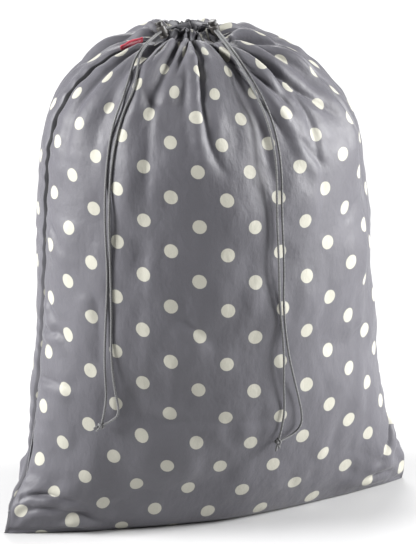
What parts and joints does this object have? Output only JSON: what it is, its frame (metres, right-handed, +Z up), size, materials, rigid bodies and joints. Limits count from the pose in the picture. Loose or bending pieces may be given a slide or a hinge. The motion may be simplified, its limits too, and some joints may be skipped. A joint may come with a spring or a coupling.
{
  "type": "drawstring laundry bag",
  "caption": "Filled drawstring laundry bag of dotted cloth, standing on its base, with its mouth gathered by two cords held in spring cord locks.",
  "frame": {"origin": "on the floor, under the middle of the bag", "axes": "+Z up through the mouth, the front with the hanging cords faces -Y, +X to the bag's right as seen from the front"},
  "size_m": [0.5, 0.3003, 0.5773],
  "materials": {
    "cloth": "satin",
    "binding": "matte",
    "cord": "matte",
    "tag": "matte",
    "lock_barrel": "satin",
    "lock_button": "satin",
    "spring_wire": "satin"
  },
  "bodies": {
    "bag": {"front_panel": "cloth", "back_panel": "cloth", "front_hem_channel": "cloth", "back_hem_channel": "cloth", "left_side_binding": "binding", "right_side_binding": "binding", "base_binding": "binding", "side_tag": "tag", "left_drawcord_loop": "cord", "right_drawcord_loop": "cord", "left_strand_outer": "cord", "left_strand_inner": "cord", "right_strand_inner": "cord", "right_strand_outer": "cord", "left_knot": "cord", "right_knot": "cord"},
    "left_lock": {"left_lock_barrel": "lock_barrel", "left_lock_spring": "spring_wire"},
    "left_plunger": {"left_lock_plunger": "lock_button"},
    "right_lock": {"right_lock_barrel": "lock_barrel", "right_lock_spring": "spring_wire"},
    "right_plunger": {"right_lock_plunger": "lock_button"}
  },
  "joints": [
    {"name": "left_lock_slide", "type": "slide", "parent": "bag", "child": "left_lock", "axis": [-0.782, -0.6116, -0.1203], "range_m": [0, 0.02]},
    {"name": "right_lock_slide", "type": "slide", "parent": "bag", "child": "right_lock", "axis": [-0.08, -0.9896, -0.1199], "range_m": [0, 0.02]},
    {"name": "left_plunger_press", "type": "slide", "parent": "left_lock", "child": "left_plunger", "axis": [0.3437, -0.262, -0.9018], "range_m": [0, 0.003], "stiffness_N_per_m": 400, "springref_m": -0.002, "deforming": ["left_lock_spring"]},
    {"name": "right_plunger_press", "type": "slide", "parent": "right_lock", "child": "right_plunger", "axis": [0.3584, 0.0837, -0.9298], "range_m": [0, 0.003], "stiffness_N_per_m": 400, "springref_m": -0.002, "deforming": ["right_lock_spring"]}
  ]
}
